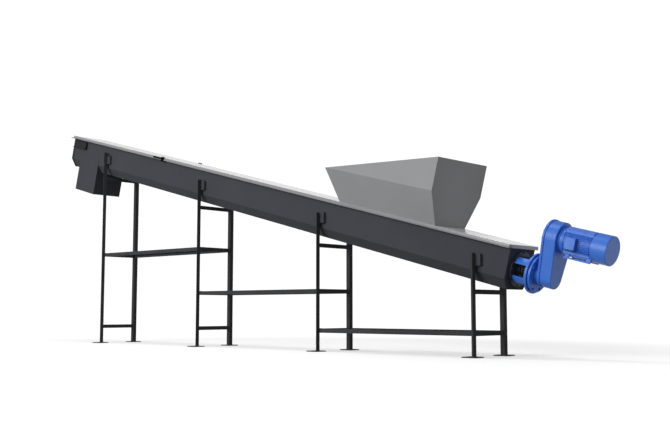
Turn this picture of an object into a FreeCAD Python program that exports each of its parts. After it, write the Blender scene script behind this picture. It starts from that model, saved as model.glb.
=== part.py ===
"""Inclined screw conveyor on four trestles, driven at its low end by a parallel-shaft gear motor.

All sizes are millimetres and degrees. The trough and all that it carries are drawn level: X runs
along the trough towards the drive, Z is up from the top of the trough's flange, and X = 0 lies over
the trestle at the drive end. The whole is then tilted and lifted on to the trestles, which stand on
Z = 0. Last, everything is moved along X so that the origin is at the middle of the footprint.
"""
import FreeCAD, Part
import math
import os

V = FreeCAD.Vector

# Slope and trough
incline = 14.7
flange_height = 1135.0
trough_length = 7430.0
trough_low_overhang = 408.0
trough_high_overhang = 819.0
trough_width = 424.0
trough_wall_depth = 312.0
trough_depth = 410.0
trough_floor_width = 280.0
trough_sheet = 5.0
flange_width = 36.0
end_plate_thickness = 8.0
upper_plate_margin = 15.0
upper_lip_reach = 70.0
upper_lip_thickness = 8.0

# Cover
gasket_thickness = 8.0
gasket_width = 30.0
cover_sheet = 4.0
cover_width = 510.0
cover_lip_depth = 34.0
cover_drip_width = 8.0
cover_drip_height = 14.0
cover_low_overhang = 6.0
cover_upper_length = 2138.0
cover_past_hopper = 525.0
cover_joint_gap = 0.5

# Clamps at the upper cover joint
clamp_steps = [0.0, 128.0]
clamp_handle_length = 170.0
clamp_handle_height = 20.0
clamp_hook_width = 44.0
clamp_plate = 8.0
clamp_hold = 24.0
clamp_rise = 9.0
clamp_reach_below = 16.0

# Hopper
hopper_low = -448.0
hopper_high_base = -1735.0
hopper_high_rim = -1885.0
hopper_base_width = 500.0
hopper_rim_width = 830.0
hopper_crease_height = 331.0
hopper_rim_height = 664.0
hopper_sheet = 4.0
throat_width = 370.0
throat_margin = 60.0

# Discharge chute
chute_end_gap = 200.0
chute_length = 460.0
chute_lap = 82.0
chute_drop = 315.0
chute_sheet = 5.0

# Small box on the near wall at the upper end
side_box_end_gap = 35.0
side_box_length = 285.0
side_box_depth = 34.0
side_box_height = 100.0
side_box_drop = 45.0
side_box_ledge = 11.0
side_box_corner = 10.0

# Trestles, numbered from the upper end; the lists set how many there are
upper_rail_gaps = [30.0, 46.0, 75.0, 76.0]
ring_heights = [1186.0, 646.0, 222.0]
low_rail_height = 222.0
low_rail_trestles = [0, 1]
leg_clear_width = 488.0
leg_size = 50.0
leg_thickness = 5.0
leg_top_drops = [118.0, 150.0, 168.0, 158.0]
rail_size = 45.0
rail_thickness = 5.0
foot_size = 150.0
foot_thickness = 10.0
foot_hole_radius = 9.0
foot_hole_spacing = 104.0

# Brackets between legs and trough walls
bracket_drop = 166.0
bracket_height = 112.0
bracket_reach = 58.0
bracket_sheet = 6.0

# Screw
screw_radius = 175.0
screw_floor_gap = 18.0
flight_pitch = 335.0
flight_thickness = 6.0
flight_sections = ["lower", "middle", "upper"]
flight_low_gap = 38.0
tube_radius = 84.0
tube_wall = 8.0
tube_end_gap = 20.0
stub_radius = 35.0
stub_disc = 20.0
weld_gap = 0.2
running_clearance = 0.08
seat_clearance = 0.05
plate_clearance = 2.0

# Bearings and seals
seal_radius = 58.0
seal_length = 12.0
housing_flange_radius = 92.0
housing_flange = 14.0
housing_boss_radius = 64.0
housing_length = 46.0
housing_taper = 4.0
shaft_past_housing = 6.0
cap_length = 18.0
cap_radius = 50.0
cap_wall = 3.0

# Lantern and coupling
ring_radius = 170.0
ring_bore_radius = 112.0
ring_thickness = 20.0
lantern_length = 152.0
lantern_radius = 149.0
lantern_wall = 15.0
arm_angle = 38.0
arm_spread = 29.0
disc_radius = 189.0
disc_thickness = 24.0
disc_bore_radius = 62.0
coupling_radius = 68.0
coupling_hub_radius = 52.0
coupling_half_length = 50.0
coupling_rim_length = 22.0
coupling_end_gap = 10.0
shaft_end_gap = 4.0

# Gear unit
gear_flange_radius = 172.0
gear_register_radius = 150.0
gear_register = 5.0
gear_flange_thickness = 23.0
gear_neck_radius = 102.0
gear_neck_length = 40.0
gear_shaft_offset = 360.0
gear_low_radius = 101.0
gear_high_radius = 158.0
gear_cover_thickness = 20.0
gear_cover_margin = 8.0
gear_depth = 116.0
gear_edge_radius = 7.0
output_shaft_depth = 95.0
flange_bolt_count = 8
flange_bolt_circle = 148.0
flange_bolt_radius = 8.0
flange_bolt_head_width = 24.0
flange_bolt_head = 10.0
bolt_clearance = 0.5

# Motor
adapter_radius = 128.0
adapter_length = 34.0
adapter_groove = 5.0
frame_radius = 118.0
frame_bore_radius = 104.0
frame_length = 300.0
frame_end_radius = 124.0
frame_end_length = 16.0
fin_tip_radius = 134.0
fin_thickness = 5.0
fin_pitch = 16.0
fin_rows = 5
foot_drop = 150.0
motor_foot_start = 42.0
motor_foot_length = 254.0
motor_foot_offset = 62.0
motor_foot_width = 34.0
motor_foot_plate = 14.0
motor_foot_web = 12.0
motor_foot_web_length = 40.0
stator_length = 200.0
stator_bore_radius = 72.0
rotor_gap = 1.0
motor_shaft_radius = 19.0
motor_shaft_overlap = 24.0
shield_radius = 116.0
shield_thickness = 16.0
shield_spigot = 8.0
shield_boss = 10.0
shield_boss_radius = 40.0
shield_taper = 5.0
shield_lugs = 4
shield_lug_width = 26.0
fan_cover_radius = 135.0
fan_cover_length = 146.0
fan_cover_sheet = 3.0
fan_cover_corner = 5.0
fan_radius = 104.0
fan_hub_radius = 34.0
fan_blades = 8
fan_blade_thickness = 4.0
fan_width = 38.0
fan_disc_radius = 84.0
fan_disc_thickness = 3.0
fan_gap = 22.0

# Terminal box on the motor's near side
terminal_low = 63.0
terminal_length = 96.0
terminal_height = 104.0
terminal_below_axis = 62.0
terminal_face = 166.0
terminal_lid = 9.0
terminal_lid_margin = 2.0
terminal_corner = 5.0
gland_positions = [28.0, 62.0]
gland_nut_width = 20.0
gland_neck_radius = 8.0
gland_nose_radius = 6.0
gland_nut_length = 9.0
gland_neck_length = 6.0
gland_length = 19.0
gland_bore_radius = 4.5
gland_setback = 24.0

# Shared details
edge_bevel = 2.0
narrow = 0.01

# Stations and levels that follow from the sizes above
trough_low = trough_low_overhang
trough_high = trough_low - trough_length
half_width = trough_width / 2
half_floor = trough_floor_width / 2
cover_joints = [trough_high + cover_upper_length, hopper_high_base - cover_past_hopper]
cover_base = gasket_thickness
cover_top = cover_base + cover_sheet
slope = math.radians(incline)
supported_length = trough_length - trough_low_overhang - trough_high_overhang
trestle_count = len(upper_rail_gaps)
trestle_pitch = supported_length * math.cos(slope) / (trestle_count - 1)
trestles = [-(trestle_count - 1 - i) * trestle_pitch for i in range(trestle_count)]
leg_inner = leg_clear_width / 2
plate_low_face = trough_low + end_plate_thickness
plate_high_face = trough_high - end_plate_thickness
chute_high = trough_high + chute_end_gap
chute_low = chute_high + chute_length
screw_drop = trough_depth - trough_sheet - screw_floor_gap - screw_radius
tube_low = trough_low - tube_end_gap
tube_high = trough_high + tube_end_gap
disc_face = plate_low_face + ring_thickness + lantern_length
gear_flange_face = disc_face + disc_thickness
gear_rear = gear_flange_face + gear_register + gear_flange_thickness + gear_neck_length
gear_body = gear_rear + gear_cover_thickness
gear_front = gear_body + gear_depth
motor_level = gear_shaft_offset - screw_drop
frame_start = gear_front + adapter_length
frame_end = frame_start + frame_length
fan_start = frame_end + shield_thickness + fan_gap
shaft_end = fan_start + fan_width


def box(x0, x1, y0, y1, z0, z1):
    """A block between two corners."""
    return Part.makeBox(x1 - x0, y1 - y0, z1 - z0, V(x0, y0, z0))


def prism_x(points, x0, x1):
    """A profile of (y, z) points, extruded along X."""
    wire = Part.makePolygon([V(x0, y, z) for y, z in points + points[:1]])
    return Part.Face(wire).extrude(V(x1 - x0, 0, 0))


def prism_y(points, y0, y1):
    """A profile of (x, z) points, extruded along Y."""
    wire = Part.makePolygon([V(x, y0, z) for x, z in points + points[:1]])
    return Part.Face(wire).extrude(V(0, y1 - y0, 0))


def turned(points, level):
    """A profile of (x, radius) points, turned about the line along X at the given level."""
    wire = Part.makePolygon([V(x, 0, level + r) for x, r in points + points[:1]])
    return Part.Face(wire).revolve(V(0, 0, level), V(1, 0, 0), 360)


def ring(x0, x1, outer, inner, level):
    """A plain ring about the line along X at the given level."""
    return turned([(x0, inner), (x1, inner), (x1, outer), (x0, outer)], level)


def rod(x0, x1, radius, level):
    """A round bar about the line along X at the given level."""
    return Part.makeCylinder(radius, x1 - x0, V(x0, 0, level), V(1, 0, 0))


def offset_path(path, distance):
    """An open path moved to its left by the same distance all along, with sharp corners."""
    normals = []
    for (ay, az), (by, bz) in zip(path, path[1:]):
        length = math.hypot(by - ay, bz - az)
        normals.append(((az - bz) / length, (by - ay) / length))
    moved = []
    for i, (y, z) in enumerate(path):
        before = normals[max(i - 1, 0)]
        after = normals[min(i, len(normals) - 1)]
        share = distance / (1 + before[0] * after[0] + before[1] * after[1])
        moved.append((y + (before[0] + after[0]) * share, z + (before[1] + after[1]) * share))
    return moved


def folded(path, thickness):
    """Closes an open path of folds into a sheet of even thickness, laid to the left of the path."""
    return path + offset_path(path, thickness)[::-1]


def lengthened(path, extra):
    """An open path with both its ends run on by the same length."""
    ends = []
    for (ay, az), (by, bz) in ((path[1], path[0]), (path[-2], path[-1])):
        share = extra / math.hypot(by - ay, bz - az)
        ends.append((by + (by - ay) * share, bz + (bz - az) * share))
    return ends[:1] + path[1:-1] + ends[1:]


def trough_outline():
    """The outside of the trough below its flange, from the near wall to the far one."""
    return [(-half_width, 0), (-half_width, -trough_wall_depth), (-half_floor, -trough_depth),
            (half_floor, -trough_depth), (half_width, -trough_wall_depth), (half_width, 0)]


def chute_bore(half, top):
    """The clear space down the chute, with the given half width and up to the given level."""
    foot = -trough_depth - chute_drop
    return box(chute_high + chute_sheet, chute_low - chute_sheet, -half, half, foot, top)


def make_trough():
    """Folded trough with out-turned flanges, open at its floor over the chute."""
    reach = half_width + flange_width
    walls = trough_outline()[1:-1]
    under = -trough_sheet
    path = [(-reach, under), (-half_width, under)] + walls + [(half_width, under), (reach, under)]
    sheet = prism_x(folded(path, trough_sheet), trough_high, trough_low)
    return sheet.cut(chute_bore(half_width - trough_sheet, -trough_wall_depth + trough_sheet))


def grown_outline(margin):
    """The trough's outline with the same margin added all round, for a plate at its end."""
    return offset_path(trough_outline(), -margin)


def make_end_plate_lower():
    """Plate across the low end, flush with the trough, with a hole for the stub shaft."""
    plate = prism_x(grown_outline(0), trough_low, plate_low_face)
    return plate.cut(rod(trough_low, plate_low_face, stub_radius + plate_clearance, -screw_drop))


def make_end_plate_upper():
    """Larger plate across the high end, folded outwards along its top."""
    plate = prism_x(grown_outline(upper_plate_margin), plate_high_face, trough_high)
    plate = plate.cut(rod(plate_high_face, trough_high, stub_radius + plate_clearance, -screw_drop))
    reach = half_width + flange_width
    lip_top = -trough_sheet - cover_lip_depth / 2
    lip = box(plate_high_face - upper_lip_reach, plate_high_face, -reach, reach,
              lip_top - upper_lip_thickness, lip_top)
    return plate.fuse(lip).removeSplitter()


def make_cover(high, low, closed_low):
    """A cover section: flat sheet with its long edges turned down to a flared drip edge, and its
    low end too if it is the last section."""
    half = cover_width / 2
    foot = cover_top - cover_lip_depth
    bend = foot + cover_drip_height
    drip = half + cover_drip_width
    path = [(drip, foot), (half, bend), (half, cover_top),
            (-half, cover_top), (-half, bend), (-drip, foot)]
    sheet = prism_x(folded(path, cover_sheet), high, low)
    if closed_low:
        end = box(low - cover_sheet, low, -half, half, foot, cover_top)
        sheet = sheet.fuse(end).removeSplitter()
    return sheet


def throat():
    """The opening under the hopper, through its base and through the cover."""
    half = throat_width / 2
    return box(hopper_high_base + throat_margin, hopper_low - throat_margin, -half, half,
               -gasket_thickness, cover_top + hopper_sheet)


def make_covers():
    """The cover's sections from the upper end down, with a small gap at each joint."""
    ends = [trough_high] + cover_joints + [plate_low_face + cover_low_overhang]
    covers = {}
    for i, name in enumerate(["upper", "middle", "lower"]):
        high = ends[i] + (cover_joint_gap / 2 if i else 0)
        last = i == len(ends) - 2
        low = ends[i + 1] - (0 if last else cover_joint_gap / 2)
        covers[name] = make_cover(high, low, last)
    covers["lower"] = covers["lower"].cut(throat())
    return covers


def make_gasket():
    """Two sealing strips between the trough's flanges and the cover."""
    outer = half_width + flange_width - (flange_width - gasket_width) / 2
    strips = []
    for side in (-1, 1):
        y0, y1 = sorted((side * outer, side * (outer - gasket_width)))
        strips.append(box(trough_high, trough_low, y0, y1, 0, gasket_thickness))
    return Part.makeCompound(strips)


def make_clamps():
    """Two clamps on the cover's edges, each a bar handle with a plate that hooks round the lip."""
    edge = cover_width / 2 + cover_drip_width
    foot = cover_top - cover_lip_depth - clamp_reach_below
    clamps = []
    for side, step in zip((-1, 1), clamp_steps):
        station = cover_joints[0] + step
        outer = edge + clamp_plate
        crown = cover_top + clamp_rise
        under = foot + clamp_plate
        tuck = half_width + flange_width / 2
        inner = edge - clamp_hold
        path = [(inner, cover_top), (inner, crown), (outer, crown),
                (outer, foot), (tuck, foot), (tuck, under), (edge, under), (edge, cover_top)]
        hook = prism_x([(side * y, z) for y, z in path], station - clamp_hook_width / 2,
                       station + clamp_hook_width / 2)
        y0, y1 = sorted((side * edge, side * outer))
        handle_low = station + side * clamp_hook_width / 2
        handle_far = handle_low + side * clamp_handle_length
        x0, x1 = sorted((handle_low, handle_far))
        top = cover_top - clamp_plate / 2
        handle = box(x0, x1, y0, y1, top - clamp_handle_height, top)
        clamps.append(hook.fuse(handle).removeSplitter())
    return Part.makeCompound(clamps)


def make_hopper():
    """Sheet hopper: sloped on three sides below its crease and upright above, with a flat base
    that frames the throat. Its rim slopes against the trough, so that it lies nearly level."""
    base = cover_top
    crease = base + hopper_crease_height
    rim = base + hopper_rim_height
    half_rim = hopper_rim_width / 2
    half_base = hopper_base_width / 2
    along = [(hopper_high_rim, crease), (hopper_high_base, base), (hopper_low, base), (hopper_low, rim)]
    across = [(-half_rim, rim), (-half_rim, crease), (-half_base, base),
              (half_base, base), (half_rim, crease), (half_rim, rim)]
    outer = prism_y(along, -half_rim, half_rim).common(prism_x(across, hopper_high_rim, hopper_low))
    past_rim = 10 * hopper_sheet
    along_inside = offset_path(lengthened(along, past_rim), hopper_sheet)
    across_inside = offset_path(lengthened(across, past_rim), hopper_sheet)
    inner = prism_y(along_inside, -half_rim, half_rim)
    inner = inner.common(prism_x(across_inside, hopper_high_rim - past_rim, hopper_low))
    return outer.cut(inner).cut(throat())


def make_chute():
    """Rectangular spout fitted to the trough's underside, its sides lapped up over the walls."""
    half = half_width + chute_sheet
    outer = box(chute_high, chute_low, -half, half, -trough_depth - chute_drop,
                -trough_wall_depth + chute_lap)
    body = prism_x(trough_outline(), chute_high, chute_low)
    return outer.cut(body).cut(chute_bore(half_width, 0))


def make_side_box():
    """Closed box on the near wall, with a ledge along its foot."""
    high = trough_high + side_box_end_gap
    low = high + side_box_length
    face = -half_width - side_box_depth
    top = -side_box_drop
    foot = top - side_box_height
    body = box(high, low, face, -half_width, foot, top)
    corners = [e for e in body.Edges if abs(e.CenterOfMass.y - face) < narrow]
    body = body.makeFillet(side_box_corner, corners)
    ledge = box(high - side_box_ledge, low, face - side_box_ledge, -half_width,
                foot, foot + side_box_ledge)
    return body.fuse(ledge).removeSplitter()


def tilted(shape):
    """Moves a shape drawn level on the trough to its place on the trestles."""
    placed = shape.copy()
    placed.rotate(V(0, 0, 0), V(0, 1, 0), incline)
    placed.translate(V(0, 0, flange_height))
    return placed


def flange_level(x):
    """Height of the trough's flange above the floor at a trestle."""
    return flange_height - x * math.tan(slope)


def angle_section(size, thickness):
    """An equal angle's profile with its corner at the origin and both legs positive."""
    return [(0, 0), (size, 0), (size, thickness), (thickness, thickness), (thickness, size), (0, size)]


def make_leg(index, side):
    """Angle leg welded to a square foot plate with four holes."""
    x = trestles[index]
    top = flange_level(x) - leg_top_drops[index]
    profile = [(x + leg_size / 2 - a, side * (leg_inner + b))
               for a, b in angle_section(leg_size, leg_thickness)]
    wire = Part.makePolygon([V(a, b, foot_thickness) for a, b in profile + profile[:1]])
    post = Part.Face(wire).extrude(V(0, 0, top - foot_thickness))
    centre = side * (leg_inner + leg_size / 2)
    half = foot_size / 2
    plate = box(x - half, x + half, centre - half, centre + half, 0, foot_thickness)
    for dx in (-foot_hole_spacing / 2, foot_hole_spacing / 2):
        for dy in (-foot_hole_spacing / 2, foot_hole_spacing / 2):
            hole = Part.makeCylinder(foot_hole_radius, foot_thickness, V(x + dx, centre + dy, 0))
            plate = plate.cut(hole)
    return post.fuse(plate).removeSplitter()


def cross_rail(x, middle):
    """Angle rail from the near leg to the far one, with its flat side towards the drive."""
    corner = x + leg_size / 2
    top = middle + rail_size / 2
    profile = [(corner - a, top - b) for a, b in angle_section(rail_size, rail_thickness)]
    return prism_y(profile, -leg_inner, leg_inner)


def make_cross_rails(index):
    """All the rails across one trestle: under the trough, at each ring, and low down."""
    x = trestles[index]
    trough_floor = flange_level(x) - trough_depth / math.cos(slope)
    levels = [trough_floor - upper_rail_gaps[index] - rail_size / 2]
    for i, height in enumerate(ring_heights):
        if index in (i, i + 1):
            levels.append(height)
    if index in low_rail_trestles:
        levels.append(low_rail_height)
    return Part.makeCompound([cross_rail(x, level) for level in levels])


def make_side_rail(index, side):
    """Angle rail that ties two trestles, with its flat side outwards."""
    start = trestles[index] + leg_size / 2
    end = trestles[index + 1] - leg_size / 2
    face = leg_inner + leg_thickness
    top = ring_heights[index] + rail_size / 2
    profile = [(side * (face - a), top - b) for a, b in angle_section(rail_size, rail_thickness)]
    return prism_x(profile, start, end)


def make_brackets():
    """Folded trays that hold the trough walls to the legs, open on top and towards the trough."""
    brackets = []
    for x in trestles:
        top = flange_level(x) - bracket_drop
        foot = top - bracket_height
        start = x - leg_size / 2
        end = x + leg_size / 2 + bracket_reach
        path = [(start, top), (start, foot), (end, foot), (end, top)]
        inner = offset_path(lengthened(path, bracket_height), bracket_sheet)
        for side in (-1, 1):
            y0, y1 = sorted((side * half_width, side * leg_inner))
            c0, c1 = sorted((side * half_width, side * (leg_inner - bracket_sheet)))
            brackets.append(prism_y(path, y0, y1).cut(prism_y(inner, c0, c1)))
    return Part.makeCompound(brackets)


def make_flight(start, turns):
    """A length of screw flight: a strip swept up a helix, upright to the shaft all the way."""
    inner = tube_radius + weld_gap
    height = turns * flight_pitch
    helix = Part.makeHelix(flight_pitch, height, inner)
    half = flight_thickness / 2
    strip = Part.makePolygon([V(inner, 0, -half), V(screw_radius, 0, -half),
                              V(screw_radius, 0, half), V(inner, 0, half), V(inner, 0, -half)])
    flight = Part.Wire(helix).makePipeShell([strip], True, True)
    flight.rotate(V(0, 0, 0), V(0, 1, 0), -90)
    flight.translate(V(start, 0, -screw_drop))
    return flight


def make_flights():
    """The flight in equal lengths of whole turns, each starting where the one before it ends. The
    last one ends over the chute."""
    start = trough_low - flight_low_gap
    run = start - (chute_high + chute_low) / 2
    turns = round(run / flight_pitch / len(flight_sections))
    flights = {}
    for i, name in enumerate(flight_sections):
        flights[name] = make_flight(start - i * turns * flight_pitch, turns)
    return flights


def make_stub(inner_end, disc_end, outer_end):
    """Stub shaft with the disc that is welded into the end of the tube."""
    disc = tube_radius - tube_wall - seat_clearance
    return turned([(inner_end, 0), (inner_end, disc), (disc_end, disc), (disc_end, stub_radius),
                   (outer_end, stub_radius), (outer_end, 0)], -screw_drop)


def bearing_housing(face, out):
    """Flanged bearing unit on an end plate; out is the way it points along X."""
    bore = stub_radius + running_clearance
    shoulder = housing_boss_radius + housing_taper
    profile = [(0, bore), (housing_length, bore), (housing_length, housing_boss_radius - housing_taper),
               (housing_length - housing_taper, housing_boss_radius), (housing_flange, shoulder),
               (housing_flange, housing_flange_radius - edge_bevel),
               (housing_flange - edge_bevel, housing_flange_radius), (0, housing_flange_radius)]
    return turned([(face + out * x, r) for x, r in profile], -screw_drop)


def make_end_cap():
    """Closed cap over the end of the upper stub shaft."""
    face = plate_high_face - housing_length
    end = face - cap_length
    inside = cap_radius - cap_wall
    return turned([(face, cap_radius), (face, inside), (end + cap_wall, inside), (end + cap_wall, 0),
                   (end, 0), (end, cap_radius - edge_bevel), (end + edge_bevel, cap_radius)], -screw_drop)


def make_seals():
    """Shaft seals inside both end plates."""
    bore = stub_radius + running_clearance
    return Part.makeCompound([
        ring(trough_high, trough_high + seal_length, seal_radius, bore, -screw_drop),
        ring(trough_low - seal_length, trough_low, seal_radius, bore, -screw_drop)])


def bolt_places():
    """Angles of the flange bolts about the screw's axis."""
    step = 360.0 / flange_bolt_count
    return [step * (i + 0.5) for i in range(flange_bolt_count)]


def bolt_place(angle):
    """Where one flange bolt stands across the trough, as (y, z)."""
    y = flange_bolt_circle * math.cos(math.radians(angle))
    z = flange_bolt_circle * math.sin(math.radians(angle)) - screw_drop
    return y, z


def bolt_rod(x0, x1, radius, angle):
    """A rod at one flange bolt's place."""
    y, z = bolt_place(angle)
    return Part.makeCylinder(radius, x1 - x0, V(x0, y, z), V(1, 0, 0))


def make_lantern():
    """Four curved arms between the ring on the end plate and a bored disc."""
    start = plate_low_face + ring_thickness
    lantern = turned([(disc_face, disc_bore_radius), (gear_flange_face, disc_bore_radius),
                      (gear_flange_face, disc_radius - edge_bevel),
                      (gear_flange_face - edge_bevel, disc_radius), (disc_face + edge_bevel, disc_radius),
                      (disc_face, disc_radius - edge_bevel)], -screw_drop)
    foot = lantern_radius - lantern_wall - screw_drop
    crown = lantern_radius - screw_drop
    section = Part.makePolygon([V(start, 0, foot), V(disc_face, 0, foot), V(disc_face, 0, crown),
                                V(start, 0, crown), V(start, 0, foot)])
    for middle in (90 - arm_angle, 90 + arm_angle, 270 - arm_angle, 270 + arm_angle):
        arm = Part.Face(section).revolve(V(0, 0, -screw_drop), V(1, 0, 0), arm_spread)
        arm.rotate(V(0, 0, -screw_drop), V(1, 0, 0), middle - arm_spread / 2)
        lantern = lantern.fuse(arm)
    for angle in bolt_places():
        hole = bolt_rod(disc_face, gear_flange_face, flange_bolt_radius + bolt_clearance, angle)
        lantern = lantern.cut(hole)
    return lantern.removeSplitter()


def make_coupling_half(face, out, shaft):
    """One half of the shaft coupling: a wide rim and a narrower hub behind it."""
    bore = shaft + seat_clearance
    profile = [(0, bore), (coupling_half_length, bore), (coupling_half_length, coupling_hub_radius),
               (coupling_rim_length, coupling_hub_radius), (coupling_rim_length, coupling_radius),
               (0, coupling_radius)]
    return turned([(face + out * x, r) for x, r in profile], -screw_drop)


def coupling_face():
    """Station where the coupling's halves meet."""
    return disc_face - coupling_end_gap - coupling_half_length


def make_gear_flange():
    """Round output flange with a raised register and the neck that joins it to the gear case."""
    start = gear_flange_face
    step = start + gear_register
    front = step + gear_flange_thickness
    bore = stub_radius + plate_clearance
    flange = turned([(start, bore), (gear_rear, bore), (gear_rear, gear_neck_radius),
                     (front, gear_neck_radius), (front, gear_flange_radius - edge_bevel),
                     (front - edge_bevel, gear_flange_radius), (step, gear_flange_radius),
                     (step, gear_register_radius), (start, gear_register_radius)], -screw_drop)
    for angle in bolt_places():
        flange = flange.cut(bolt_rod(start, front, flange_bolt_radius + bolt_clearance, angle))
    return flange


def hexagon(width):
    """The corners of a hexagon about the origin, as wide as given between its flats."""
    corner = width / math.sqrt(3)
    angles = [math.radians(60 * i) for i in range(6)]
    return [(corner * math.cos(a), corner * math.sin(a)) for a in angles]


def make_flange_bolts():
    """Hexagon bolts through the lantern's disc and the gear unit's flange, heads on the gear side."""
    head = gear_flange_face + gear_register + gear_flange_thickness
    bolts = []
    for angle in bolt_places():
        shank = bolt_rod(disc_face, head, flange_bolt_radius, angle)
        y, z = bolt_place(angle)
        corners = [(y + a, z + b) for a, b in hexagon(flange_bolt_head_width)]
        top = prism_x(corners, head, head + flange_bolt_head)
        bolts.append(shank.fuse(top).removeSplitter())
    return Part.makeCompound(bolts)


def gear_outline(x, margin):
    """Outline of the gear case: a small circle about the screw's axis and a larger one about the
    motor's, joined by straight sides that touch both."""
    low, high = gear_low_radius + margin, gear_high_radius + margin
    lean = math.asin((high - low) / gear_shaft_offset)
    y, z = math.cos(lean), -math.sin(lean)
    right_low = V(x, low * y, low * z - screw_drop)
    right_high = V(x, high * y, high * z + motor_level)
    left_low = V(x, -low * y, low * z - screw_drop)
    left_high = V(x, -high * y, high * z + motor_level)
    foot = V(x, 0, -screw_drop - low)
    crown = V(x, 0, motor_level + high)
    edges = [Part.Arc(left_low, foot, right_low).toShape(),
             Part.LineSegment(right_low, right_high).toShape(),
             Part.Arc(right_high, crown, left_high).toShape(),
             Part.LineSegment(left_high, left_low).toShape()]
    return Part.Face(Part.Wire(edges))


def make_gear_cover():
    """Plate that closes the back of the gear case, a little larger than the case."""
    plate = gear_outline(gear_rear, gear_cover_margin).extrude(V(gear_cover_thickness, 0, 0))
    return plate.cut(rod(gear_rear, gear_body, stub_radius + running_clearance, -screw_drop))


def make_gear_housing():
    """Tall gear case with a rounded front edge and a blind bore for the output shaft."""
    case = gear_outline(gear_body, 0).extrude(V(gear_depth, 0, 0))
    front = [e for e in case.Edges if e.BoundBox.XMin > gear_front - narrow]
    case = case.makeFillet(gear_edge_radius, front)
    depth = output_shaft_depth - gear_cover_thickness + shaft_end_gap
    case = case.cut(rod(gear_body, gear_body + depth, stub_radius + running_clearance, -screw_drop))
    socket = rod(gear_front - motor_shaft_overlap - shaft_end_gap, gear_front,
                 motor_shaft_radius + running_clearance, motor_level)
    return case.cut(socket)


def make_adapter():
    """Motor adapter: a thick disc with a groove round it, bolted to the gear case."""
    middle = (gear_front + frame_start) / 2
    bore = motor_shaft_radius + running_clearance
    half = adapter_groove / 2
    return turned([(gear_front, bore), (frame_start, bore), (frame_start, frame_end_radius),
                   (middle + half, frame_end_radius), (middle + half, adapter_radius - adapter_groove),
                   (middle - half, adapter_radius - adapter_groove), (middle - half, adapter_radius),
                   (gear_front, adapter_radius)], motor_level)


def terminal_span():
    """Station of the terminal box's two ends."""
    start = frame_start + terminal_low
    return start, start + terminal_length


def make_motor_frame():
    """Finned motor body: a tube with level fins at its sides and upright fins above and below,
    all trimmed to one circle, with plain ends, two foot rails on short webs and a pad for the
    terminal box."""
    start = frame_start + frame_end_length
    end = frame_end - frame_end_length
    fins = []
    reach = fin_tip_radius
    for row in range(-fin_rows, fin_rows + 1):
        offset = row * fin_pitch
        low, high = offset - fin_thickness / 2, offset + fin_thickness / 2
        fins.append(box(start, end, -reach, reach, motor_level + low, motor_level + high))
        fins.append(box(start, end, low, high, motor_level - reach, motor_level + reach))
    body = rod(frame_start, frame_end, frame_radius, motor_level).fuse(fins)
    body = body.common(rod(frame_start, frame_end, fin_tip_radius, motor_level))
    body = body.fuse([ring(frame_start, start, frame_end_radius, frame_bore_radius, motor_level),
                      ring(end, frame_end, frame_end_radius, frame_bore_radius, motor_level)])
    foot = motor_level - foot_drop
    foot_start = frame_start + motor_foot_start
    foot_end = foot_start + motor_foot_length
    for side in (-1, 1):
        y0, y1 = sorted((side * motor_foot_offset, side * (motor_foot_offset + motor_foot_width)))
        w0, w1 = sorted((side * motor_foot_offset, side * (motor_foot_offset + motor_foot_web)))
        body = body.fuse(box(foot_start, foot_end, y0, y1, foot, foot + motor_foot_plate))
        for x0 in (foot_start, foot_end - motor_foot_web_length):
            body = body.fuse(box(x0, x0 + motor_foot_web_length, w0, w1, foot,
                                 motor_level - frame_bore_radius / 2))
    body = body.cut(rod(frame_start, frame_end, frame_bore_radius, motor_level))
    x0, x1 = terminal_span()
    z0 = motor_level - terminal_below_axis
    pad = box(x0, x1, -terminal_face, 0, z0, z0 + terminal_height)
    return body.cut(pad.cut(rod(x0, x1, frame_radius, motor_level))).removeSplitter()


def make_stator():
    """Laminated stator core, pressed into the motor body."""
    middle = (frame_start + frame_end) / 2
    return ring(middle - stator_length / 2, middle + stator_length / 2,
                frame_bore_radius - seat_clearance, stator_bore_radius, motor_level)


def make_rotor():
    """Rotor core and the motor shaft through it."""
    middle = (frame_start + frame_end) / 2
    start = gear_front - motor_shaft_overlap
    core = stator_bore_radius - rotor_gap
    first, last = middle - stator_length / 2, middle + stator_length / 2
    return turned([(start, 0), (start, motor_shaft_radius), (first, motor_shaft_radius), (first, core),
                   (last, core), (last, motor_shaft_radius), (shaft_end, motor_shaft_radius),
                   (shaft_end, 0)], motor_level)


def make_end_shield():
    """End shield at the fan end, with a spigot in the body, a bearing boss and lugs that carry the
    fan cover and leave the air a way out between them."""
    bore = motor_shaft_radius + running_clearance
    spigot = frame_bore_radius - seat_clearance
    face = frame_end + shield_thickness
    crown = face + shield_boss
    shield = turned([(frame_end - shield_spigot, bore), (crown, bore), (crown, shield_boss_radius),
                     (face, shield_boss_radius + shield_taper), (face, shield_radius - shield_taper),
                     (frame_end + shield_taper, shield_radius), (frame_end, shield_radius),
                     (frame_end, spigot), (frame_end - shield_spigot, spigot)], motor_level)
    seat = fan_cover_radius - fan_cover_sheet - seat_clearance
    collar = ring(frame_end, face, seat, shield_radius - 2 * shield_taper, motor_level)
    half = shield_lug_width / 2
    for i in range(shield_lugs):
        lug = box(frame_end, face, -half, half, motor_level, motor_level + fan_cover_radius)
        lug.rotate(V(0, 0, motor_level), V(1, 0, 0), (i + 0.5) * 360.0 / shield_lugs)
        shield = shield.fuse(lug.common(collar))
    return shield.removeSplitter()


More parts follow.
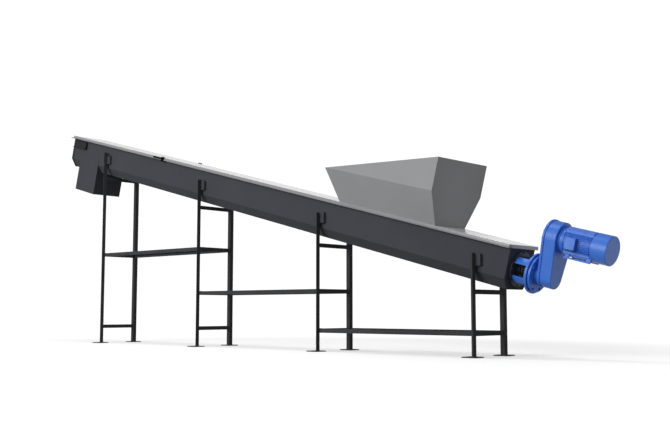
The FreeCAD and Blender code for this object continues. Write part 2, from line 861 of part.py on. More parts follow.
def make_fan():
    """Cooling fan: a hub with straight radial blades and a thin disc behind them."""
    bore = motor_shaft_radius + seat_clearance
    fan = ring(fan_start, shaft_end, fan_hub_radius, bore, motor_level)
    middle = (fan_start + shaft_end) / 2
    fan = fan.fuse(ring(middle, middle + fan_disc_thickness, fan_disc_radius, bore, motor_level))
    half = fan_blade_thickness / 2
    root = motor_level + fan_hub_radius - half
    for i in range(fan_blades):
        blade = box(fan_start, shaft_end, -half, half, root, motor_level + fan_radius)
        blade.rotate(V(0, 0, motor_level), V(1, 0, 0), i * 360.0 / fan_blades)
        fan = fan.fuse(blade)
    return fan.removeSplitter()


def make_fan_cover():
    """Drawn sheet cover over the fan, with a closed end whose edge is broken at an angle."""
    end = frame_end + fan_cover_length
    path = [(frame_end, fan_cover_radius), (end - fan_cover_corner, fan_cover_radius),
            (end, fan_cover_radius - fan_cover_corner), (end, 0)]
    inside = offset_path(path, -fan_cover_sheet)
    return turned(path + inside[::-1], motor_level)


def terminal_block(margin, face, back, corner):
    """A block at the terminal box's place, with its edges along Y rounded."""
    x0, x1 = terminal_span()
    z0 = motor_level - terminal_below_axis
    block = box(x0 - margin, x1 + margin, face, back, z0 - margin, z0 + terminal_height + margin)
    return block.makeFillet(corner, [e for e in block.Edges if e.BoundBox.YLength > narrow])


def make_terminal_box():
    """Terminal box on the pad at the motor's near side, under its lid."""
    x0, x1 = terminal_span()
    block = terminal_block(0, -terminal_face + terminal_lid, 0, terminal_corner)
    return block.cut(rod(x0, x1, frame_radius + weld_gap, motor_level))


def make_terminal_lid():
    """Flat lid with rounded edges, a little larger than the box."""
    face = -terminal_face
    corner = terminal_corner + terminal_lid_margin
    block = terminal_block(terminal_lid_margin, face, face + terminal_lid, corner)
    front = [e for e in block.Edges if e.BoundBox.YMax < face + narrow]
    return block.makeFillet(edge_bevel, front)


def make_glands():
    """Two cable glands under the terminal box, with nothing in them."""
    start = terminal_span()[0]
    top = motor_level - terminal_below_axis
    middle = -terminal_face + gland_setback
    neck = -gland_nut_length - gland_neck_length
    profile = [(gland_bore_radius, 0), (gland_neck_radius, 0), (gland_neck_radius, neck),
               (gland_nose_radius, -gland_length), (gland_bore_radius, -gland_length)]
    glands = []
    for place in gland_positions:
        x = start + place
        wire = Part.makePolygon([V(x + r, middle, top + z) for r, z in profile + profile[:1]])
        body = Part.Face(wire).revolve(V(x, middle, 0), V(0, 0, 1), 360)
        corners = [V(x + a, middle + b, top) for a, b in hexagon(gland_nut_width)]
        nut = Part.Face(Part.makePolygon(corners + corners[:1])).extrude(V(0, 0, -gland_nut_length))
        bore = Part.makeCylinder(gland_bore_radius, gland_nut_length, V(x, middle, top), V(0, 0, -1))
        glands.append(body.fuse(nut.cut(bore)).removeSplitter())
    return Part.makeCompound(glands)


def on_trough():
    """Every piece that is drawn level and tilted with the trough, by node name."""
    meet = coupling_face()
    output_end = gear_rear + output_shaft_depth
    pieces = {
        "trough": make_trough(),
        "end_plate_upper": make_end_plate_upper(),
        "end_plate_lower": make_end_plate_lower(),
        "cover_gasket": make_gasket(),
        "cover_clamps": make_clamps(),
        "hopper": make_hopper(),
        "discharge_chute": make_chute(),
        "side_box": make_side_box(),
        "screw_tube": ring(tube_high, tube_low, tube_radius, tube_radius - tube_wall, -screw_drop),
        "stub_shaft_upper": make_stub(tube_high + stub_disc, tube_high,
                                      plate_high_face - housing_length - shaft_past_housing),
        "stub_shaft_lower": make_stub(tube_low - stub_disc, tube_low, meet - shaft_end_gap),
        "bearing_housing_upper": bearing_housing(plate_high_face, -1),
        "bearing_housing_lower": bearing_housing(plate_low_face, 1),
        "bearing_end_cap": make_end_cap(),
        "shaft_seals": make_seals(),
        "lantern_ring": ring(plate_low_face, plate_low_face + ring_thickness, ring_radius,
                             ring_bore_radius, -screw_drop),
        "lantern": make_lantern(),
        "coupling_half_screw": make_coupling_half(meet, -1, stub_radius),
        "coupling_half_gear": make_coupling_half(meet, 1, stub_radius),
        "gear_output_shaft": rod(meet + shaft_end_gap, output_end, stub_radius, -screw_drop),
        "gear_flange": make_gear_flange(),
        "flange_bolts": make_flange_bolts(),
        "gear_cover": make_gear_cover(),
        "gear_housing": make_gear_housing(),
        "motor_adapter": make_adapter(),
        "motor_frame": make_motor_frame(),
        "stator_core": make_stator(),
        "rotor": make_rotor(),
        "motor_end_shield": make_end_shield(),
        "fan": make_fan(),
        "fan_cover": make_fan_cover(),
        "terminal_box": make_terminal_box(),
        "terminal_box_lid": make_terminal_lid(),
        "cable_glands": make_glands(),
    }
    for name, shape in make_covers().items():
        pieces["cover_" + name] = shape
    for name, shape in make_flights().items():
        pieces["flight_" + name] = shape
    return pieces


def on_floor():
    """Every piece of the trestles, by node name."""
    pieces = {"leg_brackets": make_brackets()}
    for i in range(trestle_count):
        pieces["leg_near_%d" % (i + 1)] = make_leg(i, -1)
        pieces["leg_far_%d" % (i + 1)] = make_leg(i, 1)
        pieces["cross_rails_%d" % (i + 1)] = make_cross_rails(i)
    for i in range(len(ring_heights)):
        pieces["side_rail_near_%d" % (i + 1)] = make_side_rail(i, -1)
        pieces["side_rail_far_%d" % (i + 1)] = make_side_rail(i, 1)
    return pieces


parts = {name: tilted(shape) for name, shape in on_trough().items()}
parts.update(on_floor())

extent = FreeCAD.BoundBox()
for shape in parts.values():
    extent.add(shape.BoundBox)
shift = V(-extent.Center.x, 0, 0)

os.makedirs("parts", exist_ok=True)
for name, shape in parts.items():
    shape.translate(shift)
    shape.exportStep("parts/%s.step" % name)
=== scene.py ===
import math
import bmesh
import bpy
import numpy as np
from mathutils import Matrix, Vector


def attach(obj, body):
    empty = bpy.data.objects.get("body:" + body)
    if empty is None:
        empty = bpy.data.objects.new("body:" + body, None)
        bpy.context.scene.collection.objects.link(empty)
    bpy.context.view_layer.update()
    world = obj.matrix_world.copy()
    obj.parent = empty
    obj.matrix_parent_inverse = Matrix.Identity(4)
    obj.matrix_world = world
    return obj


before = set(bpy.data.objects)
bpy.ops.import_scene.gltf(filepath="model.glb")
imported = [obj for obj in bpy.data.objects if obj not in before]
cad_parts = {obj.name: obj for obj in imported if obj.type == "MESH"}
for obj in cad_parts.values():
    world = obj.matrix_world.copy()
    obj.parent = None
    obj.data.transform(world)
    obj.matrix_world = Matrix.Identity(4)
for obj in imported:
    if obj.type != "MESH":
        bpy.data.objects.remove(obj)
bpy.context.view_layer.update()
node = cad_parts
scene = bpy.context.scene
scene.view_settings.view_transform = "Standard"


# Camera. It stands low, well past the drive end and on the near side, and looks up a little, so
# that the near wall runs away to the left and the drive is closest.
camera_place = (7.925, -7.811, 0.446)
camera_turn = math.radians(42.26)
camera_pitch = math.radians(5.59)
sensor_width = 36.0
photo_width = 670
focal_pixels = 961.8
far_clip = 200.0

camera_data = bpy.data.cameras.new("camera")
camera_data.sensor_width = sensor_width
camera_data.lens = focal_pixels * sensor_width / photo_width
camera_data.clip_end = far_clip
camera = bpy.data.objects.new("camera", camera_data)
camera.location = camera_place
camera.rotation_euler = (math.pi / 2 + camera_pitch, 0, camera_turn)
scene.collection.objects.link(camera)
scene.camera = camera


# Floor and backdrop. A pale studio floor that takes the soft shadow of the conveyor and fades into
# a white room all round. Only the camera, glass and polished faces see its walls at their full
# brightness, and its ceiling is dimmer.
floor_half = 60.0
floor_grey = 0.85
floor_bounce = 0.08
floor_glow = 0.42
fade_start = 3.0
fade_end = 6.2
room_seen = 1.04
room_light = 0.33
ceiling_start = 0.20
ceiling_full = 0.60


def node_tree(owner):
    """Empties a material's or the world's node tree and gives back its nodes and links."""
    owner.use_nodes = True
    owner.node_tree.nodes.clear()
    return owner.node_tree.nodes, owner.node_tree.links


def stepped(nodes, links, share, low, high):
    """A value that goes from low to high with a share."""
    step = nodes.new("ShaderNodeMapRange")
    links.new(share, step.inputs["Value"])
    step.inputs["To Min"].default_value = low
    step.inputs["To Max"].default_value = high
    return step.outputs[0]


def joined(nodes, links, operation, first, second):
    """Two values joined by an operation."""
    join = nodes.new("ShaderNodeMath")
    join.operation = operation
    links.new(first, join.inputs[0])
    links.new(second, join.inputs[1])
    return join.outputs[0]


def seen_share(nodes, links, mirrored=None):
    """1 for a ray straight from the camera, through glass or off a gloss, and 0 for the others;
    mirrored is the share that a gloss sees, where it isn't the whole."""
    ray = nodes.new("ShaderNodeLightPath")
    glossy = ray.outputs["Is Glossy Ray"]
    if mirrored:
        glossy = joined(nodes, links, "MULTIPLY", glossy, mirrored)
    straight = joined(nodes, links, "MAXIMUM", ray.outputs["Is Camera Ray"],
                      ray.outputs["Is Transmission Ray"])
    return joined(nodes, links, "MAXIMUM", straight, glossy)


world = bpy.data.worlds.new("room")
scene.world = world
nodes, links = node_tree(world)
height = nodes.new("ShaderNodeSeparateXYZ")
links.new(nodes.new("ShaderNodeTexCoord").outputs["Generated"], height.inputs[0])
walls = nodes.new("ShaderNodeMapRange")
walls.inputs["From Min"].default_value = ceiling_start
walls.inputs["From Max"].default_value = ceiling_full
walls.inputs["To Min"].default_value = 1.0
walls.inputs["To Max"].default_value = 0.0
links.new(height.outputs["Z"], walls.inputs["Value"])
strength = stepped(nodes, links, seen_share(nodes, links, walls.outputs[0]), room_light, room_seen)
sky = nodes.new("ShaderNodeBackground")
sky.inputs["Color"].default_value = (1, 1, 1, 1)
links.new(strength, sky.inputs["Strength"])
links.new(sky.outputs[0], nodes.new("ShaderNodeOutputWorld").inputs["Surface"])

floor_mesh = bpy.data.meshes.new("floor")
corners = [(x * floor_half, y * floor_half, 0) for x, y in ((-1, -1), (1, -1), (1, 1), (-1, 1))]
floor_mesh.from_pydata(corners, [], [(0, 1, 2, 3)])
floor = bpy.data.objects.new("floor", floor_mesh)
scene.collection.objects.link(floor)
floor_material = bpy.data.materials.new("studio floor")
nodes, links = node_tree(floor_material)
matt = nodes.new("ShaderNodeBsdfDiffuse")
seen = seen_share(nodes, links)
links.new(stepped(nodes, links, seen, floor_bounce, floor_grey), matt.inputs["Color"])
glow = nodes.new("ShaderNodeEmission")
links.new(stepped(nodes, links, seen, 0.0, floor_glow), glow.inputs["Strength"])
near = nodes.new("ShaderNodeAddShader")
links.new(matt.outputs[0], near.inputs[0])
links.new(glow.outputs[0], near.inputs[1])
place = nodes.new("ShaderNodeTexCoord")
away = nodes.new("ShaderNodeVectorMath")
away.operation = "LENGTH"
links.new(place.outputs["Object"], away.inputs[0])
fade = nodes.new("ShaderNodeMapRange")
fade.interpolation_type = "SMOOTHSTEP"
fade.inputs["From Min"].default_value = fade_start
fade.inputs["From Max"].default_value = fade_end
links.new(away.outputs["Value"], fade.inputs["Value"])
white = nodes.new("ShaderNodeEmission")
links.new(stepped(nodes, links, seen, room_light, room_seen), white.inputs["Strength"])
whole = nodes.new("ShaderNodeMixShader")
links.new(fade.outputs[0], whole.inputs[0])
links.new(near.outputs[0], whole.inputs[1])
links.new(white.outputs[0], whole.inputs[2])
links.new(whole.outputs[0], nodes.new("ShaderNodeOutputMaterial").inputs["Surface"])
floor_mesh.materials.append(floor_material)


# Lamps. A large soft lamp in front, a little to the left and above the conveyor, and a smaller
# one overhead that gives the shadow between the feet.
lamp_aim = Vector((0.0, 0.0, 1.5))
lamps = [("front lamp", (-1.5, -14.5, 5.5), 9.0, 1600.0),
         ("overhead lamp", (-0.5, -0.8, 11.0), 1.6, 220.0)]
for name, place, size, power in lamps:
    lamp_data = bpy.data.lights.new(name, "AREA")
    lamp_data.size = size
    lamp_data.energy = power
    lamp = bpy.data.objects.new(name, lamp_data)
    lamp.location = place
    lamp.rotation_euler = (lamp_aim - Vector(place)).to_track_quat("-Z", "Y").to_euler()
    scene.collection.objects.link(lamp)


# Trestles. Black sprayed angle legs on square foot plates, with angle rails across and along them,
# all joined by weld beads. The paint is satin, thin over the mill scale, and a little rubbed at its
# corners. The scales of its noises are in clouds per metre.
cloud_scale = 2.2
gloss_scale = 14.0
wear_scale = 30.0
peel_scale = 260.0
peel_depth = 0.001
gloss_spread = 0.06
noise_range = (0.3, 0.7)
wear_noise = (0.4, 0.62)
wear_share = (0.15, 0.8)
bend_range = (0.99, 0.8)
painted_top_range = (0.55, 0.85)
edge_samples = 4


def sprayed_paint(name, colour, rubbed, gloss=0.5, sheen_level=0.25, cloud=0.12, peel=0.05,
                  edge=0.004, coat_weight=0.0, painted_top_light=None):
    """Sprayed paint on steel: slow clouds in its colour, orange peel in its surface, uneven gloss,
    rounded corners and a paler line where they are rubbed. The colour given for faces that look up,
    where there is one, is a painted highlight standing in for the light that falls on them."""
    material = bpy.data.materials.new(name)
    nodes, links = node_tree(material)
    place = nodes.new("ShaderNodeTexCoord").outputs["Object"]

    def noise(scale, detail=3.0):
        """Cloudy noise over the piece, in clouds per metre."""
        clouds = nodes.new("ShaderNodeTexNoise")
        clouds.inputs["Scale"].default_value = scale
        clouds.inputs["Detail"].default_value = detail
        links.new(place, clouds.inputs["Vector"])
        return clouds.outputs["Fac"]

    def mixed(share, low, high):
        """A colour between two, by a share; either may be a socket."""
        mix = nodes.new("ShaderNodeMix")
        mix.data_type = "RGBA"
        links.new(share, mix.inputs["Factor"])
        for socket, value in ((mix.inputs["A"], low), (mix.inputs["B"], high)):
            if isinstance(value, tuple):
                socket.default_value = value + (1,)
            else:
                links.new(value, socket)
        return mix.outputs["Result"]

    def stretched(value, old, new):
        """A value stretched from an old range to a new one and held within it."""
        spread = nodes.new("ShaderNodeMapRange")
        for socket, number in zip(("From Min", "From Max", "To Min", "To Max"), old + new):
            spread.inputs[socket].default_value = number
        links.new(value, spread.inputs["Value"])
        return spread.outputs[0]

    darker = tuple(c * (1 - cloud) for c in colour)
    lighter = tuple(c * (1 + cloud) for c in colour)
    clouded = stretched(noise(cloud_scale), noise_range, (0.0, 1.0))
    body = mixed(clouded, darker, lighter)

    corner = nodes.new("ShaderNodeBevel")
    corner.samples = edge_samples
    corner.inputs["Radius"].default_value = edge
    flat = nodes.new("ShaderNodeNewGeometry")
    # Faces that look up get a painted highlight: their colour is mixed towards a paler one for the
    # light on them.
    if painted_top_light:
        height = nodes.new("ShaderNodeSeparateXYZ")
        links.new(flat.outputs["Normal"], height.inputs[0])
        painted_top_share = stretched(height.outputs["Z"], painted_top_range, (0.0, 1.0))
        body = mixed(painted_top_share, body, painted_top_light)
    turn = nodes.new("ShaderNodeVectorMath")
    turn.operation = "DOT_PRODUCT"
    links.new(corner.outputs["Normal"], turn.inputs[0])
    links.new(flat.outputs["Normal"], turn.inputs[1])
    near_edge = stretched(turn.outputs["Value"], bend_range, (0.0, 1.0))
    patchy = nodes.new("ShaderNodeMath")
    patchy.operation = "MULTIPLY"
    links.new(near_edge, patchy.inputs[0])
    links.new(stretched(noise(wear_scale), wear_noise, wear_share), patchy.inputs[1])
    coat = mixed(patchy.outputs[0], body, rubbed)

    shader = nodes.new("ShaderNodeBsdfPrincipled")
    shader.inputs["Specular IOR Level"].default_value = sheen_level
    shader.inputs["Coat Weight"].default_value = coat_weight
    shader.inputs["Coat Roughness"].default_value = gloss
    links.new(coat, shader.inputs["Base Color"])
    uneven = stretched(noise(gloss_scale), noise_range,
                       (gloss - gloss_spread, gloss + gloss_spread))
    links.new(uneven, shader.inputs["Roughness"])
    bump = nodes.new("ShaderNodeBump")
    bump.inputs["Strength"].default_value = peel
    bump.inputs["Distance"].default_value = peel_depth
    links.new(noise(peel_scale, detail=1.0), bump.inputs["Height"])
    links.new(corner.outputs["Normal"], bump.inputs["Normal"])
    links.new(bump.outputs["Normal"], shader.inputs["Normal"])
    links.new(shader.outputs[0], nodes.new("ShaderNodeOutputMaterial").inputs["Surface"])
    return material


def dress(material, slot, *names):
    """Gives CAD nodes their finish. The slot, the record's slot that the finish stands for, is not
    used.
    """
    for name in names:
        piece = node[name]
        piece.data.materials.clear()
        piece.data.materials.append(material)


frame_paint = sprayed_paint("black frame paint", (0.060, 0.061, 0.064), (0.07, 0.071, 0.075),
                            sheen_level=0.02)
trestle_starts = ("leg_near", "leg_far", "cross_rails", "side_rail")
trestle_pieces = [name for name in node if name.startswith(trestle_starts)]
dress(frame_paint, "frame_black", *trestle_pieces)

last_trestle = 2.801825
trestle_gap = 2.0
trestle_stations = last_trestle - trestle_gap * np.arange(3, -1, -1)
trough_slope = math.radians(14.7)
flange_start = 1.135
leg_inner = 0.244
leg_size = 0.050
leg_thickness = 0.005
foot_top = 0.010
rail_size = 0.045
trough_depth = 0.410
upper_rail_gaps = (0.030, 0.046, 0.075, 0.076)
tie_heights = (1.186, 0.646, 0.222)
low_rail_height = 0.222
low_railed = (0, 1)
foot_weld = 0.0045
rail_weld = 0.0035
corner_gap = 0.006
edge_gap = 0.002
bead_step = 0.003
bead_pitch = 0.010
bead_least_steps = 4
bead_swell = 0.14
bead_bluntness = 0.7
bead_points = 8
bead_taper = 0.004
bead_end_share = 0.35
odd_direction = (0.31, 0.52, 0.79)


def flange_level(x):
    """Height of the trough's flange over the floor: a straight slope down towards the drive."""
    return flange_start - (x - trestle_stations[-1]) * math.tan(trough_slope)


def add_tubes(name, tubes, material, body, smooth=True):
    """Makes one piece of closed tubes. A tube is an array of rings of points: each ring is joined
    to the next by four-sided faces, and the first and last are closed by a flat face."""
    corners, faces, start = [], [], 0
    for tube in tubes:
        rows, columns = tube.shape[:2]
        number = start + np.arange(rows * columns).reshape(rows, columns)
        beside = np.roll(number, -1, axis=1)
        sides = np.stack([number[:-1], beside[:-1], beside[1:], number[1:]], axis=-1)
        faces += sides.reshape(-1, 4).tolist() + [number[0, ::-1].tolist(), number[-1].tolist()]
        corners.append(tube.reshape(-1, 3))
        start += rows * columns
    mesh = bpy.data.meshes.new(name)
    mesh.from_pydata(np.concatenate(corners).tolist(), [], faces)
    shell = bmesh.new()
    shell.from_mesh(mesh)
    bmesh.ops.recalc_face_normals(shell, faces=shell.faces)
    shell.to_mesh(mesh)
    shell.free()
    mesh.polygons.foreach_set("use_smooth", np.full(len(mesh.polygons), smooth))
    mesh.materials.append(material)
    piece = bpy.data.objects.new(name, mesh)
    scene.collection.objects.link(piece)
    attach(piece, body)


def unit(vectors):
    """Vectors brought to a length of one."""
    return vectors / np.linalg.norm(vectors, axis=-1, keepdims=True)


def bead(path, radius):
    """A weld bead along straight runs: at each step a circle square to the run, whose radius swells
    and sinks with the sine of the distance over the pitch, and shrinks near both ends. The circle
    starts from a direction that no run has."""
    path = np.asarray(path, dtype=float)
    runs = np.linalg.norm(np.diff(path, axis=0), axis=1)
    reach = np.concatenate([[0.0], np.cumsum(runs)])
    steps = max(int(reach[-1] / bead_step), bead_least_steps) + 1
    distance = np.linspace(0.0, reach[-1], steps)
    line = np.stack([np.interp(distance, reach, path[:, i]) for i in range(3)], axis=-1)
    ahead = unit(np.gradient(line, axis=0))
    across = unit(np.cross(ahead, odd_direction))
    square = np.cross(ahead, across)
    to_end = np.minimum(distance, reach[-1] - distance)
    ripple = np.abs(np.sin(math.pi * distance / bead_pitch)) ** bead_bluntness
    swell = 1 + bead_swell * ripple
    size = radius * swell * np.clip(bead_end_share + to_end / bead_taper, bead_end_share, 1.0)
    turn = np.linspace(0.0, 2 * math.pi, bead_points, endpoint=False)
    ring = np.cos(turn)[:, None] * across[:, None] + np.sin(turn)[:, None] * square[:, None]
    return line[:, None] + size[:, None, None] * ring


trestle_welds = []
for index, x in enumerate(trestle_stations):
    front, back = x + leg_size / 2, x - leg_size / 2
    tops = [flange_level(x) - trough_depth / math.cos(trough_slope) - upper_rail_gaps[index]]
    tops += [height + rail_size / 2 for tie, height in enumerate(tie_heights)
             if tie in (index - 1, index)]
    if index in low_railed:
        tops.append(low_rail_height + rail_size / 2)
    for side in (-1, 1):
        inner, outer = side * leg_inner, side * (leg_inner + leg_size)
        face = side * (leg_inner + leg_thickness)
        behind = front - leg_thickness
        foot_outside = [(back, inner, foot_top), (front, inner, foot_top), (front, outer, foot_top)]
        foot_inside = [(back, face, foot_top), (behind, face, foot_top), (behind, outer, foot_top)]
        trestle_welds += [bead(path, foot_weld) for path in (foot_outside, foot_inside)]
        for top in tops:
            level_edge = [(front - rail_size, inner, top), (front - edge_gap, inner, top)]
            upright_edge = [(behind, inner, top - rail_size), (behind, inner, top - corner_gap)]
            trestle_welds += [bead(path, rail_weld) for path in (level_edge, upright_edge)]
        if index < len(tie_heights):
            top = tie_heights[index] + rail_size / 2
            rail_end = side * (leg_inner + leg_thickness - rail_size)
            trestle_welds.append(bead([(front, face, top - rail_size), (front, face, top),
                                       (front, rail_end, top)], rail_weld))
add_tubes("trestle_welds", trestle_welds, frame_paint, "frame")


# Trough, its end plates, the spout under its high end, the small box on its near wall and the
# brackets to the legs. Folded steel sheet in a dark blue-grey satin coat, the box nearly black,
# with weld beads round the end plates, spout, box and brackets.
trough_paint = sprayed_paint("dark trough paint", (0.067, 0.069, 0.080), (0.10, 0.102, 0.11),
                             gloss=0.58, sheen_level=0.02, cloud=0.06)
dress(trough_paint, "trough_paint", "trough", "end_plate_upper", "end_plate_lower",
      "discharge_chute", "leg_brackets")
box_paint = sprayed_paint("side box paint", (0.024, 0.025, 0.028), (0.07, 0.07, 0.075), gloss=0.5,
                          sheen_level=0.05)
dress(box_paint, "side_box_paint", "side_box")

half_trough = 0.212
half_floor = 0.140
wall_depth = 0.312
trough_high = -7.022
trough_low = 0.408
chute_high = -6.822
chute_low = -6.362
chute_lap_top = -0.230
side_box_high = -6.987
side_box_low = -6.702
side_box_top = -0.045
side_box_foot = -0.145
bracket_drop = 0.166
bracket_height = 0.112
bracket_end = 0.083
seam_weld = 0.0025
plate_weld = 0.0040
under_flange = -0.006


def on_trough(points):
    """Turns points given along, across and square to the trough down by its slope, and moves them
    to its place over the floor."""
    along, across, up = np.moveaxis(np.asarray(points, dtype=float), -1, 0)
    cosine, sine = math.cos(trough_slope), math.sin(trough_slope)
    return np.stack([trestle_stations[-1] + along * cosine + up * sine, across,
                     flange_start - along * sine + up * cosine], axis=-1)


outline = [(-half_trough, under_flange), (-half_trough, -wall_depth), (-half_floor, -trough_depth),
           (half_floor, -trough_depth), (half_trough, -wall_depth), (half_trough, under_flange)]
trough_welds = [bead(on_trough([(trough_low, y, n) for y, n in outline]), seam_weld),
                bead(on_trough([(trough_high, y, n) for y, n in outline]), plate_weld)]
for station in (chute_high, chute_low):
    near_top, far_top = [(station, side * half_trough, chute_lap_top) for side in (-1, 1)]
    collar = [(station, y, n) for y, n in outline[1:-1]]
    trough_welds.append(bead(on_trough([near_top, *collar, far_top]), plate_weld))
for side in (-1, 1):
    lap = [(station, side * half_trough, chute_lap_top) for station in (chute_high, chute_low)]
    trough_welds.append(bead(on_trough(lap), plate_weld))
    for x in trestle_stations:
        wall, back, end = side * half_trough, x - leg_size / 2, x + bracket_end
        top = flange_level(x) - bracket_drop
        foot = top - bracket_height
        trough_welds.append(bead([(back, wall, top), (back, wall, foot), (end, wall, foot),
                                  (end, wall, top)], rail_weld))
box_corners = ((side_box_high, side_box_top), (side_box_low, side_box_top),
               (side_box_low, side_box_foot), (side_box_high, side_box_foot))
box_edge = [(station, -half_trough, n) for station, n in box_corners]
trough_welds.append(bead(on_trough(box_edge), seam_weld))
add_tubes("trough_welds", trough_welds, trough_paint, "frame")


# Cover. Three lengths of light grey coated sheet with turned-down edges, on a rubber strip; its
# faces that look up get a painted highlight, near white, for the light that burns them out. Two
# black clamps with riveted hooks hold it at the upper joint.
cover_paint = sprayed_paint("light sheet coat", (0.25, 0.25, 0.26), (0.31, 0.31, 0.32), gloss=0.24,
                            sheen_level=0.5, cloud=0.03, peel=0.01, coat_weight=0.5,
                            painted_top_light=(0.92, 0.92, 0.92))
dress(cover_paint, "cover_sheet", "cover_upper", "cover_middle", "cover_lower")
clamp_paint = sprayed_paint("clamp paint", (0.006, 0.006, 0.007), (0.02, 0.02, 0.02), gloss=0.7,
                            sheen_level=0.01)
dress(clamp_paint, "clamp_steel", "cover_clamps")
rubber = sprayed_paint("sealing rubber", (0.012, 0.012, 0.012), (0.015, 0.015, 0.015), gloss=0.8,
                       sheen_level=0.1)
dress(rubber, "seal_rubber", "cover_gasket", "shaft_seals")

clamp_stations = {-1: -4.884, 1: -4.756}
clamp_face = 0.271
rivet_levels = (-0.002, -0.024)
rivet_width = 0.011
head_points = 24
hexagonal = ((0.0, 0.92, 1), (0.11, 0.92, 1), (0.13, 0.88, 1), (0.13, 0.5, 0), (0.62, 0.5, 0),
             (0.72, 0.5, 1), (0.72, 0.34, 1), (0.69, 0.28, 1))
round_headed = ((0.0, 0.5, 1), (0.10, 0.5, 1), (0.22, 0.44, 1), (0.31, 0.32, 1), (0.35, 0.16, 1))


def heads(places, axis, width, shape=hexagonal):
    """Bolt or screw heads at places on a face: circles of points about the axis at each height of
    the shape, drawn out to a hexagon by one over the cosine of the angle from the nearest flat. A
    shape's rows are height, radius and whether the row is round, in shares of the width."""
    axis = unit(np.asarray(axis, dtype=float))
    across = unit(np.cross(axis, odd_direction))
    square = np.cross(axis, across)
    turn = np.linspace(0.0, 2 * math.pi, head_points, endpoint=False)
    flat = 1 / np.cos((turn + math.pi / 6) % (math.pi / 3) - math.pi / 6)
    rows = np.array(shape)
    reach = width * rows[:, 1, None] * np.where(rows[:, 2, None] > 0, 1.0, flat)
    spokes = np.cos(turn)[:, None] * across + np.sin(turn)[:, None] * square
    head = width * rows[:, 0, None, None] * axis + reach[:, :, None] * spokes
    return [place + head for place in np.asarray(places, dtype=float)]


rivets = []
for side, station in clamp_stations.items():
    places = on_trough([(station, side * clamp_face, n) for n in rivet_levels])
    rivets += heads(places, (0, side, 0), rivet_width, round_headed)
add_tubes("clamp_rivets", rivets, clamp_paint, "frame")


# Hopper. Light grey sheet folded to a sloped funnel with upright upper walls, welded up its corners
# and round its foot, where it stands on the cover.
hopper_paint = sprayed_paint("hopper coat", (0.32, 0.324, 0.335), (0.37, 0.37, 0.38), gloss=0.46,
                             sheen_level=0.2, cloud=0.03, peel=0.03)
dress(hopper_paint, "hopper_sheet", "hopper")

cover_top = 0.012
hopper_low = -0.448
hopper_high_base = -1.735
hopper_high_rim = -1.885
half_base = 0.250
half_rim = 0.415
crease = 0.343
rim = 0.676
base_weld = 0.0035
corner_weld = 0.0022

base = [(hopper_low, half_base, cover_top), (hopper_low, -half_base, cover_top),
        (hopper_high_base, -half_base, cover_top), (hopper_high_base, half_base, cover_top)]
hopper_welds = [bead(on_trough(base + base[:1]), base_weld)]
for side in (-1, 1):
    high_corner = [(hopper_high_base, side * half_base, cover_top),
                   (hopper_high_rim, side * half_rim, crease)]
    low_corner = [(hopper_low, side * half_base, cover_top), (hopper_low, side * half_rim, crease),
                  (hopper_low, side * half_rim, rim)]
    hopper_welds += [bead(on_trough(path), corner_weld) for path in (high_corner, low_corner)]
add_tubes("hopper_welds", hopper_welds, hopper_paint, "frame")


# Screw and bearings. Steel flight and tube, scoured by what they carry, with a turned shaft at each
# end. The shafts run in cast housings bolted to the end plates, as the lantern's ring is.
flight_steel = sprayed_paint("scoured steel", (0.3, 0.3, 0.31), (0.5, 0.5, 0.5), gloss=0.35,
                             sheen_level=0.6)
dress(flight_steel, "screw_steel", "screw_tube", "flight_lower", "flight_middle", "flight_upper")
turned_steel = sprayed_paint("turned steel", (0.45, 0.45, 0.46), (0.6, 0.6, 0.6), gloss=0.25,
                             sheen_level=0.8)
dress(turned_steel, "shaft_steel", "stub_shaft_upper", "stub_shaft_lower", "gear_output_shaft")
coupling_iron = sprayed_paint("coupling iron", (0.016, 0.015, 0.014), (0.06, 0.05, 0.045),
                              gloss=0.6, sheen_level=0.15)
dress(coupling_iron, "coupling_iron", "coupling_half_screw", "coupling_half_gear")
housing_paint = sprayed_paint("bearing housing paint", (0.03, 0.031, 0.034), (0.08, 0.08, 0.085))
dress(housing_paint, "bearing_iron", "bearing_housing_upper", "bearing_housing_lower",
      "bearing_end_cap", "lantern_ring")

screw_drop = 0.212
lower_plate_face = 0.416
upper_plate_face = -7.030
housing_flange = 0.014
housing_bolt_circle = 0.079
housing_bolt_count = 4
ring_thickness = 0.020
ring_bolt_circle = 0.160
ring_bolt_count = 8
housing_bolt_width = 0.013


def circle_of_places(station, count, radius, level, first=0.5):
    """Places evenly spaced round the trough's direction, the first a share of a step from level."""
    turn = 2 * math.pi * (np.arange(count) + first) / count
    return on_trough(np.stack([np.full(count, station), radius * np.cos(turn),
                               level + radius * np.sin(turn)], axis=-1))


down_trough = on_trough((1, 0, 0)) - on_trough((0, 0, 0))
low_housing = circle_of_places(lower_plate_face + housing_flange, housing_bolt_count,
                               housing_bolt_circle, -screw_drop)
high_housing = circle_of_places(upper_plate_face - housing_flange, housing_bolt_count,
                                housing_bolt_circle, -screw_drop)
lantern_ring = circle_of_places(lower_plate_face + ring_thickness, ring_bolt_count,
                                ring_bolt_circle, -screw_drop, first=0.0)
housing_bolts = heads(low_housing, down_trough, housing_bolt_width)
housing_bolts += heads(high_housing, -down_trough, housing_bolt_width)
housing_bolts += heads(lantern_ring, down_trough, housing_bolt_width)
add_tubes("housing_bolts", housing_bolts, housing_paint, "frame", smooth=False)


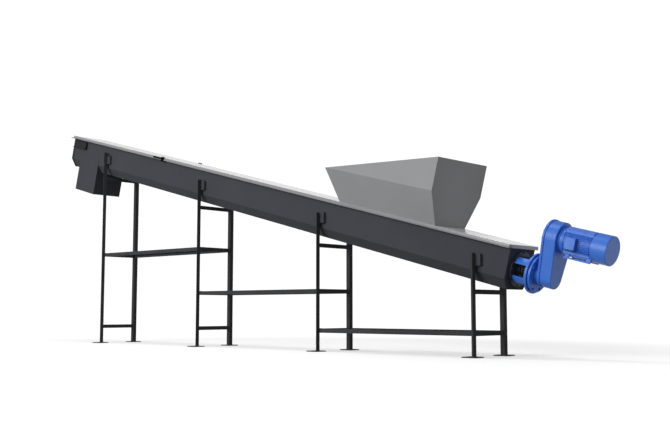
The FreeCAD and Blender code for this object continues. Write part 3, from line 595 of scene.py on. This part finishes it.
# Drive. Cast gear unit, lantern and finned motor in one blue enamel, bolts and screws with them.
# The rotor and stator inside are bare steel, the fan is black plastic and the cable glands are of
# dark metal.
blue = sprayed_paint("blue enamel", (0.045, 0.186, 0.72), (0.06, 0.21, 0.76), gloss=0.38,
                     sheen_level=0.35, cloud=0.05, edge=0.003, coat_weight=0.1)
dress(blue, "drive_paint", "lantern", "gear_flange", "flange_bolts", "gear_cover", "gear_housing",
      "motor_adapter", "motor_frame", "motor_end_shield", "fan_cover")
dress(blue, "terminal_box_paint", "terminal_box", "terminal_box_lid")

gear_back = 0.680
motor_axis = 0.148
gear_cover_screw_circle = 0.154
gear_cover_screw_turns = np.radians(np.linspace(-4, 184, 9))
gear_screw_width = 0.011
lid_face = -0.166
lid_screw_stations = (0.921, 1.001)
lid_screw_levels = (0.094, 0.182)
lid_screw_width = 0.007
fan_cover_radius = 0.135
fan_screw_station = 1.158
fan_screw_turns = np.radians((45, 135, 225, 315))
fan_screw_width = 0.009

rim_places = np.stack([np.full(len(gear_cover_screw_turns), gear_back),
                       gear_cover_screw_circle * np.cos(gear_cover_screw_turns),
                       motor_axis + gear_cover_screw_circle * np.sin(gear_cover_screw_turns)],
                      axis=-1)
drive_screws = heads(on_trough(rim_places), -down_trough, gear_screw_width)
lid_places = [(s, lid_face, n) for s in lid_screw_stations for n in lid_screw_levels]
drive_screws += heads(on_trough(lid_places), (0, -1, 0), lid_screw_width, round_headed)
for turn in fan_screw_turns:
    outward = np.array((0.0, math.cos(turn), math.sin(turn)))
    place = np.array((fan_screw_station, 0.0, motor_axis)) + fan_cover_radius * outward
    drive_screws += heads([on_trough(place)], on_trough(outward) - on_trough((0, 0, 0)),
                          fan_screw_width, round_headed)
add_tubes("drive_screws", drive_screws, blue, "frame", smooth=False)
dress(turned_steel, "rotor_steel", "rotor")
dress(flight_steel, "stator_steel", "stator_core")
fan_plastic = sprayed_paint("fan plastic", (0.02, 0.02, 0.022), (0.03, 0.03, 0.03), gloss=0.5)
dress(fan_plastic, "fan_plastic", "fan")
gland_metal = sprayed_paint("gland metal", (0.07, 0.072, 0.08), (0.14, 0.145, 0.155), gloss=0.4,
                            sheen_level=0.4)
dress(gland_metal, "gland_metal", "cable_glands")
